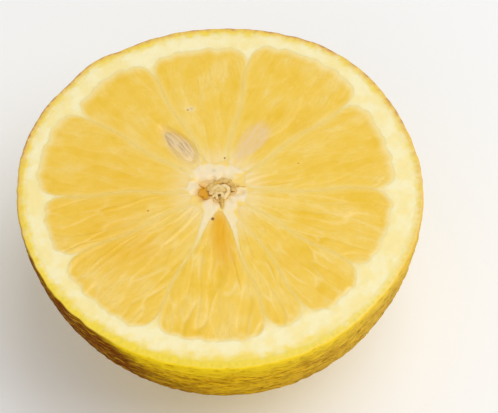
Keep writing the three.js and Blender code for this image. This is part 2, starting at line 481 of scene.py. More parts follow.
class Graph:
    """The nodes of one material."""

    def __init__(self, name: str) -> None:
        """Starts an empty material.

        Args:
            name: Name of the material.
        """
        self.material = bpy.data.materials.new(name)
        self.material.use_nodes = True
        self.tree = self.material.node_tree
        self.tree.nodes.clear()

    def node(
        self, kind: str, settings: Mapping[str, object] | None = None, inputs: Mapping | None = None
    ) -> bpy.types.Node:
        """Adds a node.

        Args:
            kind: Its type, without the usual prefix.
            settings: What is set on the node itself, before its sockets.
            inputs: Values or links, by the name or number of their socket.

        Returns:
            The node.
        """
        node = self.tree.nodes.new("ShaderNode" + kind)
        for name, setting in (settings or {}).items():
            setattr(node, name, setting)
        for name, given in (inputs or {}).items():
            socket = node.inputs[name]
            given = given.socket if isinstance(given, Value) else given
            if isinstance(given, Socket):
                self.tree.links.new(given, socket)
            elif isinstance(given, tuple) and socket.type == "RGBA":
                socket.default_value = (*given, 1.0)
            else:
                socket.default_value = given
        return node

    def attribute(self, name: str) -> Value:
        """A value that the mesh keeps at its vertices."""
        node = self.node("Attribute", {"attribute_name": name})
        return Value(self, node.outputs["Fac"])

    def place(self, scale: Triple = (1, 1, 1)) -> Socket:
        """Places on the object in millimetres, times a scale for each axis."""
        source = self.node("TexCoord").outputs["Object"]
        sizes = tuple(factor / MM for factor in scale)
        return self.node("Mapping", {}, {"Vector": source, "Scale": sizes}).outputs["Vector"]

    def vector(self, x: Value, y: Value) -> Socket:
        """A place made of two values."""
        return self.node("CombineXYZ", {}, {"X": x, "Y": y}).outputs["Vector"]

    def noise(self, place: Socket, scale: float, detail: float) -> Value:
        """Cloudy noise from 0 to 1.

        Args:
            place: Where it is read.
            scale: Swells in each unit of the place.
            detail: Finer layers on top.

        Returns:
            The noise.
        """
        node = self.node("TexNoise", {}, {"Vector": place, "Scale": scale, "Detail": detail})
        return Value(self, node.outputs["Fac"])

    def threads(self, noise: Value, width: float) -> Value:
        """Thin winding lines, where a noise crosses its middle.

        Args:
            noise: The noise.
            width: How far from the middle a line still reaches.

        Returns:
            1 in a line and 0 elsewhere.
        """
        middle = noise - 0.5
        return 1.0 - (middle * middle).eased(0.0, width**2)

    def mix(self, share: Value | float, first: Paint, second: Paint, mode: str = "MIX") -> Socket:
        """Mixes two colours.

        Args:
            share: Share of the second.
            first: The colour at a share of 0.
            second: The colour at a share of 1.
            mode: How they mix.

        Returns:
            The mixed colour.
        """
        settings = {"data_type": "RGBA", "blend_type": mode}
        return self.node("Mix", settings, {0: share, 6: first, 7: second}).outputs[2]

    def layered(self, color: Paint, *coats: tuple) -> Socket:
        """Mixes one coat of colour after another over a ground.

        Args:
            color: The ground.
            *coats: Share and colour of each, then its way of mixing if that isn't the plain one.

        Returns:
            The mixed colour.
        """
        for coat_share, coat_color, *mode in coats:
            color = self.mix(coat_share, color, coat_color, *mode)
        return color

    def bump(self, height: Value, distance: float, strength: float) -> Socket:
        """A normal tilted by a height.

        Args:
            height: The height, from 0 to 1.
            distance: What a height of 1 stands for, in millimetres.
            strength: Share of the effect.

        Returns:
            The normal.
        """
        inputs = {"Height": height, "Distance": distance * MM, "Strength": strength}
        return self.node("Bump", {}, inputs).outputs["Normal"]

    @staticmethod
    def glow(weight: float, radius: Triple, scale: float) -> dict[str, object]:
        """Shader inputs for light that travels under the surface.

        Args:
            weight: Share of the light.
            radius: How far red, green and blue travel, against the scale.
            scale: The scale, in millimetres.

        Returns:
            The values by their socket's name.
        """
        return {"Subsurface Weight": weight, "Subsurface Radius": radius, "Subsurface Scale": scale * MM}

    def surface(self, inputs: Mapping[str, object]) -> bpy.types.Material:
        """Ends the material with one surface shader.

        Args:
            inputs: Values or links of the shader's sockets.

        Returns:
            The material.
        """
        shader = self.node("BsdfPrincipled", {}, inputs)
        self.node("OutputMaterial", {}, {"Surface": shader.outputs["BSDF"]})
        return self.material


@dataclass(frozen=True)
class ZestBand:
    """The cut face's outer band, which fades unevenly from the zest to the white lining."""

    zest: Color = (0.90, 0.68, 0.08)
    gland: Color = (0.80, 0.63, 0.06)
    blobs: Span = (0.55, 2.0)
    spots: Span = (1.1, 2.0)
    unevenness: float = 3.4
    fade: Span = (-1.1, 0.9)

    def over(self, graph: Graph, lining: Paint) -> Socket:
        """Colours the band.

        Args:
            graph: The material's nodes.
            lining: Colour of the white lining.

        Returns:
            The colour.
        """
        place = graph.place()
        blobs = graph.noise(place, *self.blobs)
        edge = graph.attribute("under") - graph.attribute("band") + (blobs - 0.5) * self.unevenness
        return graph.layered(
            self.zest,
            (graph.noise(place, *self.spots).eased(0.48, 0.66) * 0.6, self.gland),
            (graph.attribute("pale") * 0.45, lining),
            (edge.eased(*self.fade), lining),
        )


@dataclass(frozen=True)
class RindFinish:
    """Waxy yellow skin with fine wrinkles and pores, over bright zest with its oil glands; painted shade
    makes it ochre at the front and bottom, painted light makes it brighter near the cut edge.
    """

    # skin and ochre are the yellow darkened by painted shade for the front and bottom; sunny is the plain
    # yellow, also used as painted light near the cut edge
    skin: Color = (0.82, 0.48, 0.006)
    sunny: Color = (0.94, 0.66, 0.012)
    ochre: Color = (0.68, 0.36, 0.004)
    # painted shade for the creases and pores
    crease_shade: Color = (0.48, 0.38, 0.23)
    # painted shade: dark brown for the shaded lower left side and the lower front
    weathered: Color = (0.21, 0.055, 0.002)
    lining: Color = (0.93, 0.80, 0.40)
    # fringe: reddish brown on the pale side, and for the painted shade along the far edge
    fringe: Color = (0.77, 0.47, 0.15)
    # painted shade: brown along the far cut edge
    dried: Color = (0.58, 0.30, 0.11)
    band: ZestBand = ZestBand()
    clouds: Span = (0.11, 3.0)
    flecks: Span = (0.9, 4.0)
    lines: Span = (1.0, 2.5)
    line_stretch: Triple = (0.3, 0.3, 2.7)
    line_width: float = 0.055
    grain: Span = (3.2, 3.0)
    skin_depth: Span = (0.06, 0.36)

    def material(self) -> bpy.types.Material:
        """Makes the material."""
        graph = Graph("lemon_rind")
        place = graph.place()
        clouds = graph.noise(place, *self.clouds)
        flecks = graph.noise(place, *self.flecks)
        lines = graph.noise(graph.place(self.line_stretch), *self.lines)
        gland, away, upper, dried = map(graph.attribute, ("gland", "away", "upper", "dried"))
        on_skin = 1.0 - graph.attribute("under").eased(*self.skin_depth)
        creases = graph.threads(lines, self.line_width) * flecks.eased(0.28, 0.52)
        creases = creases * (1.0 - away * 0.85) * (1.0 - upper * 0.9) * on_skin
        streaks = 1.0 - lines.eased(0.5, 0.64) * 0.4
        skin = graph.layered(
            self.ochre,
            (clouds.eased(0.40, 0.62), self.skin),
            # painted light: the skin is lighter near the cut edge
            (upper * flecks.eased(0.2, 0.5), self.sunny),
            # away from the front the plain yellow shows; the front keeps its painted shade
            (away * 0.85, self.sunny),
            (lines.eased(0.54, 0.68) * 0.45, self.sunny),
            (graph.attribute("pale") * 0.4, self.fringe),
            # painted shade: the lower front and the low left side are darkened brown as if in shadow
            (graph.attribute("lower") * 0.22, self.weathered),
            (graph.attribute("weathered") * clouds.eased(0.0, 0.45) * streaks, self.weathered),
            # painted shade: the creases and the pores are darkened
            (creases * 0.8, self.crease_shade, "MULTIPLY"),
            (gland * 0.7, self.crease_shade, "MULTIPLY"),
        )
        color = graph.layered(
            self.band.over(graph, self.lining),
            (gland * 0.6, self.band.gland),
            (on_skin, skin),
            # painted shade: the far cut edge is browned
            (dried * (flecks.eased(0.3, 0.6) * 0.5 + 0.4), self.fringe),
            ((dried + (flecks - 0.5) * 1.2).eased(0.8, 1.2), self.dried),
        )
        grain = graph.noise(place, *self.grain) * 0.35 + creases * -0.6 + 0.6
        return graph.surface({
            "Base Color": color,
            "Roughness": flecks * 0.25 + 0.42,
            "Normal": graph.bump(grain, 0.22, 0.8),
            "Specular IOR Level": 0.008,
            **graph.glow(0.08, (1.0, 0.5, 0.05), 0.8),
        })


@dataclass(frozen=True)
class PithFinish:
    """Soft white tissue: creamy under the rind, whitest in the core, yellowish in thin walls."""

    cream: Color = (0.93, 0.78, 0.34)
    white: Color = (0.94, 0.84, 0.49)
    wall: Color = (0.91, 0.64, 0.17)
    core: Color = (0.89, 0.73, 0.46)
    tan: Color = (0.84, 0.60, 0.24)
    # deep: painted shade colour for the bottom of the core's hollow
    deep: Color = (0.81, 0.53, 0.14)
    # orange patch in the left of the core's hollow
    stain: Color = (0.68, 0.33, 0.001)
    speck: Color = (0.52, 0.47, 0.26)
    band: ZestBand = ZestBand()
    sponge: Span = (1.4, 4.0)
    patches: Span = (0.3, 3.0)

    def material(self) -> bpy.types.Material:
        """Makes the material."""
        graph = Graph("lemon_pith")
        place = graph.place()
        sponge = graph.noise(place, *self.sponge)
        patches = graph.noise(place, *self.patches)
        color = graph.layered(
            self.band.over(graph, graph.mix(patches.eased(0.38, 0.62), self.cream, self.white)),
            (graph.attribute("wall"), self.wall),
            ((graph.attribute("core") * (sponge * 0.5 + 0.8)).clamped(), self.core),
            (graph.attribute("lip") * 0.8, self.tan),
            # painted shade: the core's hollow darkens to tan the deeper it goes
            (graph.attribute("depth").eased(0.4, 1.2), self.deep),
            # an orange patch in the left of the core's hollow
            (graph.attribute("stain"), self.stain),
            (graph.attribute("speck"), self.speck),
            (sponge.eased(0.45, 0.8) * 0.12, self.wall),
        )
        return graph.surface({
            "Base Color": color,
            "Roughness": 0.6,
            "Normal": graph.bump(sponge, 0.12, 0.5),
            **graph.glow(0.2, (1.0, 0.9, 0.6), 0.7),
        })


@dataclass(frozen=True)
class PulpFinish:
    """Wet juice sacs: clear deep yellow where they are full, pale along their thin walls."""

    deep: Color = (0.84, 0.53, 0.03)
    juice: Color = (0.87, 0.58, 0.075)
    pale: Color = (0.89, 0.64, 0.16)
    shade: Color = (0.74, 0.47, 0.06)
    wall: Color = (0.92, 0.70, 0.25)
    rim: Color = (0.92, 0.77, 0.37)
    tip: Color = (0.92, 0.74, 0.42)
    orange: Color = (0.82, 0.43, 0.011)
    seed: Color = (0.80, 0.59, 0.36)
    speck: Color = (0.24, 0.09, 0.01)
    clouds: Span = (0.16, 3.0)
    smudges: Span = (0.42, 3.0)
    grains: Span = (1.3, 5.0)
    fibre_detail: float = 3.0

    def material(self) -> bpy.types.Material:
        """Makes the material."""
        graph = Graph("lemon_pulp")
        place = graph.place()
        across = graph.attribute("across")
        along = graph.attribute("along")
        fibres = graph.noise(graph.vector(across * 1.5, along * 0.3), 1.0, self.fibre_detail)
        veins = graph.noise(graph.vector(across * 0.9, along * 0.15), 1.0, self.fibre_detail)
        shades = graph.noise(graph.vector(across * 1.3 + 7.0, along * 0.3), 1.0, self.fibre_detail)
        clouds = graph.noise(place, *self.clouds)
        smudges = graph.noise(place, *self.smudges)
        grains = graph.noise(place, *self.grains)
        tone = graph.attribute("tone") * 0.3 + fibres * 0.15 + clouds * 1.2 + smudges * 0.6 - 0.62
        color = graph.layered(
            self.deep,
            (tone.eased(0.1, 0.5), self.juice),
            (tone.eased(0.45, 0.85), self.pale),
            (graph.threads(veins, 0.02) * smudges.eased(0.45, 0.7) * 0.35, self.wall),
            (graph.threads(shades, 0.03) * clouds.eased(0.4, 0.65) * 0.3, self.shade),
            (graph.attribute("wall") * 0.55, self.wall),
            (graph.attribute("rim") * (grains * 0.6 + 0.6), self.rim),
            (graph.attribute("tip") * (fibres * 1.2 + 0.1), self.tip),
            (graph.attribute("orange"), self.orange),
            (graph.attribute("seed") * (fibres.eased(0.35, 0.6) * 0.4 + 0.6), self.seed),
            (graph.attribute("speck"), self.speck),
        )
        return graph.surface({
            "Base Color": color,
            "Roughness": fibres * 0.25 + 0.25,
            "Normal": graph.bump(fibres * 0.4 + grains * 0.6, 0.11, 0.5),
            "IOR": 1.36,
            **graph.glow(0.2, (1.0, 0.85, 0.45), 0.8),
            "Coat Weight": 0.15,
            "Coat Roughness": 0.15,
            "Coat IOR": 1.34,
        })


@dataclass(frozen=True)
class SeedFinish:
    """Pale seed coat with fine lengthwise streaks, tinted where the pulp covers it."""

    coat: Color = (0.81, 0.60, 0.30)
    streak: Color = (0.44, 0.27, 0.14)
    veil: Color = (0.86, 0.58, 0.14)

    def material(self) -> bpy.types.Material:
        """Makes the material."""
        graph = Graph("lemon_seed")
        grain = graph.vector(graph.attribute("across") * 2.6, graph.attribute("along") * 0.35)
        streaks = graph.noise(grain, 1.0, 4.0).eased(0.48, 0.72)
        dark = (streaks * 0.6 + graph.attribute("streak") * 0.35).clamped()
        return graph.surface({
            "Base Color": graph.layered(self.coat, (dark, self.streak), (graph.attribute("veil"), self.veil)),
            "Roughness": 0.38,
            "Normal": graph.bump(streaks * -1.0 + 1.0, 0.12, 0.7),
            **graph.glow(0.2, (1.0, 0.7, 0.4), 1.0),
            "Coat Weight": 0.12,
            "Coat Roughness": 0.2,
        })


@dataclass(frozen=True)
class StrandFinish:
    """Dried threads that ran up the core: greyish beige, browner at their ends."""

    thread: Color = (0.87, 0.67, 0.33)
    end: Color = (0.66, 0.41, 0.08)

    def material(self) -> bpy.types.Material:
        """Makes the material."""
        graph = Graph("lemon_strand")
        patches = graph.noise(graph.place(), 1.3, 3.0)
        dry = patches.eased(0.4, 0.7) * 0.5 + graph.attribute("dry")
        return graph.surface({
            "Base Color": graph.mix(dry.clamped(), self.thread, self.end),
            "Roughness": 0.6,
            "Normal": graph.bump(patches, 0.08, 0.5),
        })


@dataclass(frozen=True)
class CalyxFinish:
    """Dry woody button, olive brown with a paler scar."""

    bark: Color = (0.20, 0.15, 0.04)
    dry: Color = (0.36, 0.25, 0.10)
    scar: Color = (0.50, 0.38, 0.20)

    def material(self) -> bpy.types.Material:
        """Makes the material."""
        graph = Graph("lemon_calyx")
        grain = graph.noise(graph.place(), 2.0, 5.0)
        coats = (grain.eased(0.4, 0.65), self.dry), (graph.attribute("scar"), self.scar)
        return graph.surface({
            "Base Color": graph.layered(self.bark, *coats),
            "Roughness": 0.8,
            "Normal": graph.bump(grain, 0.15, 0.8),
        })


@dataclass
class Rind:
    """The yellow skin with its cut edge: a cup with pores outside and oil glands on its edge."""

    form: FruitForm
    thickness: float = 1.6
    edge_rounding: float = 0.4
    fine_top: float = 0.05
    fine_reach: float = 0.72
    skin_depth: float = 0.02
    zest_rows: int = 9
    pore_count: int = 4800
    pore_size: float = 0.22
    pore_scatter: float = 0.28
    pore_sizes: Span = (0.7, 1.35)
    pore_depths: Span = (0.45, 1.0)
    pore_stretch: float = 2.0
    pore_depth: float = 0.2
    pebble: float = 0.05
    pebble_length: float = 3.4
    wrinkle: float = 0.08
    wrinkle_length: Triple = (2.6, 2.6, 0.9)
    edge_waves: float = 0.07
    edge_wave_length: Triple = (2.6, 2.6, 6.5)
    gland_spacing: float = 1.15
    gland_length: float = 1.5
    gland_shift: float = 0.35
    gland_depths: Span = (0.45, 0.95)
    gland_sizes: Span = (0.24, 0.42)
    gland_strengths: Span = (0.2, 1.0)
    dimple_radius: float = 2.9
    dimple_mouth: float = 3.6
    dimple_height: float = 1.4
    furrows: int = 9
    furrow_depth: float = 0.35
    furrow_radius: float = 9.5
    furrow_spread: float = 3.0
    foot_fade: Span = (0.1, 1.5)
    wave_levels: Span = (-9, -1)
    wave_reach: Span = (0.3, 1.3)
    cut_lift: float = 0.02
    gland_depth: float = 0.1
    inner_drop: float = 0.05
    front: float = 275.0
    seen_levels: Span = (-25, -15)
    upper_levels: Span = (-4.5, -0.3)
    lower_levels: Span = (-14, -5)
    lower_width: float = 70.0
    front_width: float = 80.0
    brown_side: float = 220.0
    brown_width: float = 36.0
    brown_strength: float = 1.4
    brown_levels: Span = (-27, -14)
    brown_edge: float = 4.0
    brown_slant: float = 0.34
    brown_bend: float = 11.0
    dried_side: float = 110.0
    dried_squeeze: float = 0.65
    dried_turns: tuple[Triple, ...] = ((75, 100, 0.7), (45, 75, 0.3))
    dried_depth: Span = (0.1, 1.5)
    dried_levels: Span = (-1.4, -0.2)
    seed: int = 11

    def build(self) -> Piece:
        """Models the rind and keeps what its finish reads."""
        piece = self.ball()
        self.wall(piece)
        self.shape(piece)
        return piece

    def ball(self) -> Piece:
        """Makes the lower half of a ball, finer where the fruit's sides show."""
        Piece.start()
        radius = self.form.radius
        bpy.ops.mesh.primitive_ico_sphere_add(subdivisions=7, radius=radius * MM)
        piece = Piece("lemon_rind")
        height = piece.points[:, 2]
        piece.choose((height < self.fine_top * radius) & (height > -self.fine_reach * radius))
        bpy.ops.mesh.subdivide(number_cuts=1)
        places = piece.points
        piece.points = places * (radius / np.linalg.norm(places, axis=1))[:, None]
        piece.choose_all()
        level = (0, 0, -self.edge_rounding * MM)
        bpy.ops.mesh.bisect(plane_co=level, plane_no=(0, 0, 1), clear_outer=True)
        return piece

    def wall(self, piece: Piece) -> None:
        """Gives the half ball its rounded edge, its cut face and its lining.

        Args:
            piece: The half ball.
        """
        radius, rounding = self.form.radius, self.edge_rounding
        flat, inner = radius - rounding, radius - self.thickness
        edge = [(flat + rounding * math.cos(turn), rounding * (math.sin(turn) - 1))
                for turn in np.linspace(0, math.pi / 2, 5)[1:]]
        steps = np.linspace(flat, inner, self.zest_rows + 1)[1:]
        dips = np.radians([6, 14, 24, 36, 50, 65, 80, 88])
        rows = edge + [(float(step), 0.0) for step in steps]
        rows += [(inner * math.cos(dip), -inner * math.sin(dip)) for dip in dips]
        piece.choose(piece.points[:, 2] > -rounding - TOUCH)
        extrude_rows((math.sqrt(radius**2 - rounding**2), -rounding), rows)
        piece.face_out()

    def shape(self, piece: Piece) -> None:
        """Moves the half ball's points to the fruit's form, with its pores, furrows and glands.

        Args:
            piece: The cup.
        """
        ball = piece.points
        level = ball[:, 2]
        under = np.clip(self.form.radius - np.linalg.norm(ball, axis=1), 0, None)
        skin = (under < self.skin_depth) & (level < TOUCH - self.edge_rounding)
        places = self.form.dome(ball)
        places[skin, 2] = self.skin_height(places[skin])
        piece.points = self.form.grow(places)
        places = piece.points
        pores = self.pores(ball)
        relief = -self.pore_depth * pores - self.unevenness(ball)
        relief *= skin * rise(*self.foot_fade, places[:, 2])
        places += piece.normals * relief[:, None]
        waves = self.edge_waves * (1 + Ripples(self.seed + 4, 18).at(places, self.edge_wave_length))
        waves *= rise(*self.wave_levels, level) * fall(*self.wave_reach, under)
        places[:, :2] *= 1 - np.clip(waves, 0, None)[:, None] / self.form.radius
        on_cut = level > -TOUCH
        glands = self.glands(places)
        inwards = rise(1.0, self.thickness, under[on_cut])
        places[on_cut, 2] += self.cut_lift - self.gland_depth * glands[on_cut] - self.inner_drop * inwards
        places[:, 2] = np.maximum(places[:, 2], 0)
        piece.points = places
        seen = rise(*self.seen_levels, level)
        turn = turn_from(ball, self.front)
        piece.mark(
            under=np.where(skin, 0, under),
            gland=np.where(skin, pores, np.where(on_cut, glands, 0)),
            pale=self.form.pale_side.at(places) * seen,
            band=self.form.zest_width(places),
            # upper is painted light near the edge, lower is painted shade low on the front, away is where the
            # front's painted shade ends
            upper=rise(*self.upper_levels, level),
            lower=fall(*self.lower_levels, level) * seen * bell(turn, self.lower_width),
            away=1 - bell(turn, self.front_width) * seen,
            # painted shade, strongest low on the left side
            weathered=self.weathered(turn_from(ball, self.brown_side), level),
            # painted shade along the far edge
            dried=self.dried(turn_from(places, self.dried_side), under, level),
        )

    def weathered(self, turn: np.ndarray, level: np.ndarray) -> np.ndarray:
        """How much painted shade browns the skin, most at one side and down from the edge.

        Args:
            turn: Angle of each point from the side where the painted shade is strongest, in degrees.
            level: Height of each point above the cut face.

        Returns:
            One value for each point.
        """
        start = -self.brown_slant * np.clip(turn - self.brown_bend, 0, None)
        low = rise(*self.brown_levels, level) * fall(start, start + self.brown_edge, level)
        return np.clip(self.brown_strength * bell(turn, self.brown_width), 0, 1) * low

    def dried(self, turn: np.ndarray, under: np.ndarray, level: np.ndarray) -> np.ndarray:
        """How much painted shade browns the edge at the far side.

        Args:
            turn: Angle of each point from the side where the painted edge shade is strongest, in degrees.
            under: Depth of each under the skin.
            level: Height of each above the cut face.

        Returns:
            One value for each point.
        """
        away = np.where(turn < 0, -self.dried_squeeze * turn, turn)
        far = sum(fall(low, high, away) * share for low, high, share in self.dried_turns)
        return far * fall(*self.dried_depth, under) * rise(*self.dried_levels, level)

    def skin_height(self, places: np.ndarray) -> np.ndarray:
        """Height of the skin with its neck, its flat spot and the dimple in it.

        Args:
            places: Points of the ellipsoid.

        Returns:
            The height of each.
        """
        radius, angle = polar(places)
        height = places[:, 2] - self.form.neck_depth * bell(radius, self.form.neck_spread)
        furrow = np.cos(self.furrows * angle) * bell(radius - self.furrow_radius, self.furrow_spread)
        height = np.maximum(height - self.furrow_depth * furrow, 0)
        return height + self.dimple_height * fall(self.dimple_radius, self.dimple_mouth, radius)

    def pores(self, ball: np.ndarray) -> np.ndarray:
        """How deep in a pore the points of the ball lie, from 0 to 1.

        Args:
            ball: Points of the ball.

        Returns:
            One value for each point.
        """
        draw = np.random.default_rng(self.seed)
        turn = np.arange(self.pore_count) * math.pi * (3 - math.sqrt(5))
        depth = (np.arange(self.pore_count) + 0.5) / self.pore_count
        ring = np.sqrt(1 - depth**2)
        centres = np.column_stack([ring * np.cos(turn), ring * np.sin(turn), -depth]) * self.form.radius
        centres += draw.normal(scale=self.pore_scatter, size=centres.shape)
        sizes = self.pore_size * draw.uniform(*self.pore_sizes, self.pore_count)
        depths = draw.uniform(*self.pore_depths, self.pore_count)
        number = nearest(centres, ball, 1)[0][:, 0]
        away = ball - centres[number]
        turn = polar(ball)[1]
        sideways = away[:, 1] * np.cos(turn) - away[:, 0] * np.sin(turn)
        squared = (away**2).sum(axis=1) - sideways**2 * (1 - 1 / self.pore_stretch**2)
        return depths[number] * np.exp(-squared / sizes[number] ** 2)

    def unevenness(self, ball: np.ndarray) -> np.ndarray:
        """How far the skin dips between its pores: soft pebbles, and fine wrinkles round the fruit.

        Args:
            ball: Points of the ball.

        Returns:
            The dip at each point.
        """
        angle = polar(ball)[1]
        round_z = np.column_stack([np.cos(angle), np.sin(angle)]) * self.form.radius
        rolled = np.column_stack([round_z, ball[:, 2]])
        pebbles = Ripples(self.seed + 1).at(ball, self.pebble_length)
        lines = Ripples(self.seed + 2, 20).at(rolled, self.wrinkle_length)
        return np.clip(self.pebble * (1 + pebbles) + self.wrinkle * (1 + lines), 0, None)

    def glands(self, places: np.ndarray) -> np.ndarray:
        """How deep in an oil gland of the cut edge points lie, from 0 to 1.

        Args:
            places: Points on the cut edge.

        Returns:
            One value for each point.
        """
        draw = np.random.default_rng(self.seed + 3)
        count = int(math.tau * self.form.radius / self.gland_spacing)
        shift = draw.uniform(-self.gland_shift, self.gland_shift, count)
        angle = (np.arange(count) + shift) * math.tau / count
        depth = draw.uniform(*self.gland_depths, count)
        size = draw.uniform(*self.gland_sizes, count)
        strength = draw.uniform(*self.gland_strengths, count)
        under = self.form.under_skin(places)
        turn = polar(places)[1] % math.tau
        deepest = np.zeros(len(places))
        before = np.floor(turn / math.tau * count).astype(int)
        for step in (-1, 0, 1, 2):
            which = (before + step) % count
            sideways = ((turn - angle[which] + math.pi) % math.tau - math.pi) * self.form.radius
            inwards = (under - depth[which]) / self.gland_length
            here = strength[which] * np.exp(-(sideways**2 + inwards**2) / size[which] ** 2)
            deepest = np.maximum(deepest, here)
        return deepest


@dataclass(frozen=True)
class PulpPlan:
    """Where the segments and the walls between them lie on the cut face and below it."""

    form: FruitForm
    starts: tuple[float, ...] = (0.5, 39, 80, 116, 147.5, 182.5, 208, 247, 286, 301, 326)
    reaches: tuple[float, ...] = (28.0, 29.1, 28.0, 28.3, 29.1, 28.2, 28.3, 27.5, 26.8, 27.6, 27.4)
    tips: tuple[float, ...] = (4.1, 4.7, 5.2, 5.6, 5.2, 5.0, 4.7, 4.0, 6.2, 4.4, 4.2)
    roots: tuple[float, ...] = (0.5, 0.4, 0.5, 0.6, 0.4, 0.4, 0.5, 1.4, 1.3, 0.4, 0.4)
    root_radius: float = 4.5
    root_length: float = 4.5
    wall_thickness: float = 0.17
    sway: float = 0.35
    sway_length: float = 17.0
    sway_start: Span = (5, 12)
    sway_end: Span = (20, 27)
    lobe_rounding: float = 3.3
    scallop: float = 0.22
    scallop_width: float = 2.9
    scallop_middle: float = 0.6
    wobble: float = 0.6
    wobble_lengths: Span = (4.3, 1.9)
    tip_rounding: float = 0.9
    depth: float = 26.5
    dips: tuple[float, ...] = (0, 1.5, 8, 22, 40, 68)
    pocket_opening: float = 1.0

    @property
    def count(self) -> int:
        """How many segments there are."""
        return len(self.starts)

    def wall_angle(self, wall: int, radius: np.ndarray) -> np.ndarray:
        """Angle of the middle of a wall, which sways a little on its way out.

        Args:
            wall: Number of the wall.
            radius: Distances from the axis.

        Returns:
            The angle at each, in radians.
        """
        swayed = self.sway * np.sin(math.tau * radius / self.sway_length + 2.4 * wall)
        fade = rise(*self.sway_start, radius) * fall(*self.sway_end, radius)
        return math.radians(self.starts[wall]) + swayed * fade / radius

    def wall_half(self, wall: int, radius: np.ndarray) -> np.ndarray:
        """Half the thickness of a wall, which is thickest at the core.

        Args:
            wall: Number of the wall.
            radius: Distances from the axis.

        Returns:
            Half the thickness at each.
        """
        root = self.roots[wall] * np.exp(-np.clip(radius - self.root_radius, 0, None) / self.root_length)
        return (self.wall_thickness + root) / 2

    def width(self, index: int) -> float:
        """Angle that a segment takes, in radians."""
        return math.radians((self.starts[(index + 1) % self.count] - self.starts[index]) % 360)

    def wedge(
        self, index: int, side: np.ndarray, out: np.ndarray, dip: np.ndarray, spread: float = 0.0
    ) -> tuple[np.ndarray, np.ndarray, np.ndarray]:
        """Places in a segment.

        Args:
            index: Number of the segment.
            side: From -1 at its first wall to 1 at its second.
            out: From 0 at its tip to 1 at its rim.
            dip: Angle below the cut face, in radians.
            spread: How much it is grown all round.

        Returns:
            Places, distances across from the middle, and distances from the axis.
        """
        following = (index + 1) % self.count
        rim = self.reaches[index] * np.cos(dip) + spread
        half = 0.5 * rim * self.width(index)
        rounding = np.minimum(self.lobe_rounding * np.cos(dip), 0.9 * half)
        past = np.clip(np.abs(side) * half - (half - rounding), 0, rounding)
        reach = rim - rounding + np.sqrt(rounding**2 - past**2)
        arc = math.tau * side * half
        lobes = np.abs(np.cos(arc / 2 / self.scallop_width + index)) - self.scallop_middle
        long, short = self.wobble_lengths
        lobes += self.wobble * (np.sin(arc / long + 1.9 * index) + 0.35 * np.sin(arc / short + 4.1 * index))
        reach += self.scallop * lobes * np.cos(dip) * fall(0.75, 1.0, np.abs(side))
        start = self.tips[index] - spread
        radius = start + (reach - start) * out
        low = self.wall_angle(index, radius) + (self.wall_half(index, radius) - spread) / radius
        high = self.wall_angle(following, radius) - (self.wall_half(following, radius) - spread) / radius
        high += math.tau * (following < index)
        past_tip = np.clip((radius - start) / self.tip_rounding, 0, 1)
        full = np.sqrt(1 - (1 - past_tip) ** 2 * 0.97)
        half_turn = (high - low) / 2 * full
        angle = (low + high) / 2 + side * half_turn
        height = self.form.cut_height - self.depth * np.sin(dip)
        places = np.column_stack([radius * np.cos(angle), radius * np.sin(angle), height])
        return self.form.grow(places), side * half_turn * radius, radius

    def block(self, name: str, columns: int, rows: int, levels: int) -> Piece:
        """Makes a closed block whose points still tell their side, way out and level.

        Args:
            name: Name of the piece.
            columns: Steps across.
            rows: Steps out.
            levels: Steps down.

        Returns:
            The block.
        """
        Piece.start()
        bpy.ops.mesh.primitive_grid_add(x_subdivisions=columns, y_subdivisions=rows, size=2 * MM)
        piece = Piece(name)
        piece.choose_all()
        bpy.ops.mesh.region_to_loop()
        for _ in range(levels):
            bpy.ops.mesh.extrude_region_move(TRANSFORM_OT_translate={"value": (0, 0, -MM)})
        bpy.ops.mesh.edge_face_add()
        bpy.ops.mesh.poke()
        bpy.ops.object.mode_set(mode="OBJECT")
        return piece

    def coordinates(self, piece: Piece) -> tuple[np.ndarray, np.ndarray, np.ndarray]:
        """Reads a block's side, way out and level back from its points.

        Args:
            piece: The block.

        Returns:
            Side from -1 to 1, way out from 0 to 1, and level from 0 down.
        """
        x, y, z = piece.points.T
        side = -(0.7 * x + 0.3 * np.sin(math.pi / 2 * x))
        return side, (y + 1) / 2, np.round(-z).astype(int)

    def pocket(self, index: int) -> Piece:
        """The room that a segment takes in the pith, open above the cut face.

        Args:
            index: Number of the segment.

        Returns:
            A piece that cuts the room out.
        """
        piece = self.block(f"pocket_{index}", 60, 90, len(self.dips))
        side, out, level = self.coordinates(piece)
        dip = np.radians(np.array((0, *self.dips)))[level]
        places, _, _ = self.wedge(index, side, out, dip)
        places[level == 0, 2] += self.pocket_opening
        piece.points = places
        piece.face_out()
        return piece


